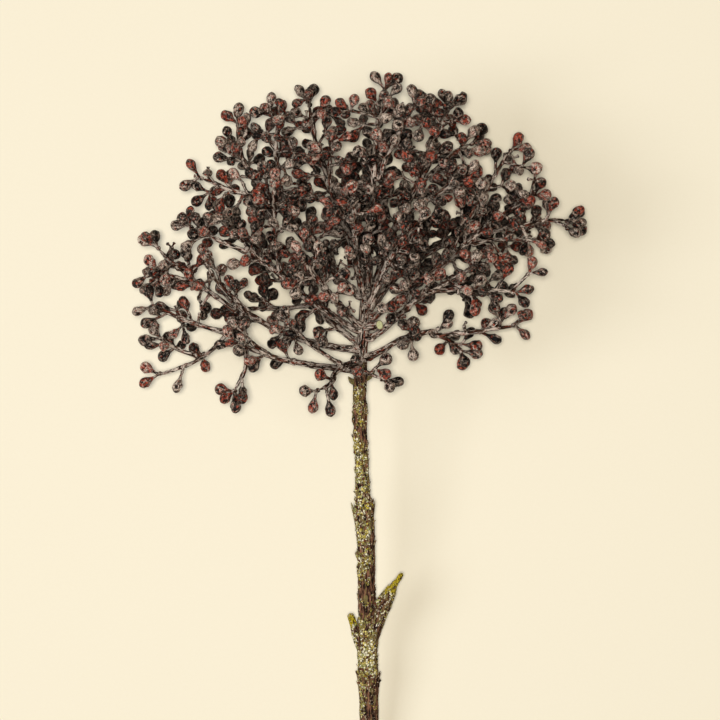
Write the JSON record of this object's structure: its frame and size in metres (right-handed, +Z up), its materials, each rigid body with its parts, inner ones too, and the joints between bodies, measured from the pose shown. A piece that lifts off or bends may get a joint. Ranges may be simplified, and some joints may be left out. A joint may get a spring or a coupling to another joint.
{
  "type": "viburnum berry sprig",
  "caption": "Cut viburnum sprig: one lichened stem bearing a domed head of forking twigs hung with withered, dark pear-shaped berries, lying on its side.",
  "frame": {"origin": "middle of the footprint of the sprig as it lies, on the surface under it", "axes": "+Y along the stem from its cut end to the top of the head, +Z up from the surface, +X to the right looking down with the head away"},
  "size_m": [0.1814, 0.3056, 0.0885],
  "materials": {
    "bark": "rough bark with lichen",
    "spur_bark": "rough bark with yellow-green lichen",
    "bract": "dry and papery",
    "twig": "dry dark twig"
  },
  "bodies": {
    "root": {"main_stem": "bark", "right_spur": "spur_bark", "left_spur": "spur_bark", "right_bract": "bract", "left_bract": "bract", "left_low_ray": "twig", "left_side_ray": "twig", "front_low_ray": "twig", "right_low_ray": "twig", "right_mid_ray": "twig", "right_long_ray": "twig", "right_top_ray": "twig", "top_ray": "twig", "left_top_ray": "twig", "left_up_ray": "twig", "left_mid_ray": "twig", "front_left_ray": "twig", "front_ray": "twig", "front_right_ray": "twig", "back_left_ray": "twig", "back_right_ray": "twig", "back_ray": "twig", "far_left_spray": "twig", "left_edge_spray": "twig", "left_thicket_spray": "twig", "left_bowed_spray": "twig", "left_hook_spray": "twig", "left_shelf_spray": "twig", "left_drop_spray": "twig", "left_club_spray": "twig", "front_drop_spray": "twig", "front_left_low_spray": "twig", "front_crossing_spray": "twig", "right_drop_spray": "twig", "right_edge_low_spray": "twig", "right_shelf_spray": "twig", "right_pendant_spray": "twig", "right_bough_spray": "twig", "far_right_spray": "twig", "right_arm_spray": "twig", "right_arch_spray": "twig", "right_spire_spray": "twig", "right_crown_spray": "twig", "top_right_spray": "twig", "right_heart_spray": "twig", "top_tuft_spray": "twig", "top_inner_spray": "twig", "top_left_tuft_spray": "twig", "top_gap_spray": "twig", "left_shoulder_spray": "twig", "left_corner_spray": "twig", "left_horn_spray": "twig", "left_ear_spray": "twig", "left_heart_spray": "twig", "back_left_spray": "twig", "back_left_low_spray": "twig", "back_right_spray": "twig", "back_right_low_spray": "twig", "back_top_spray": "twig", "back_inner_spray": "twig"}
  },
  "joints": []
}
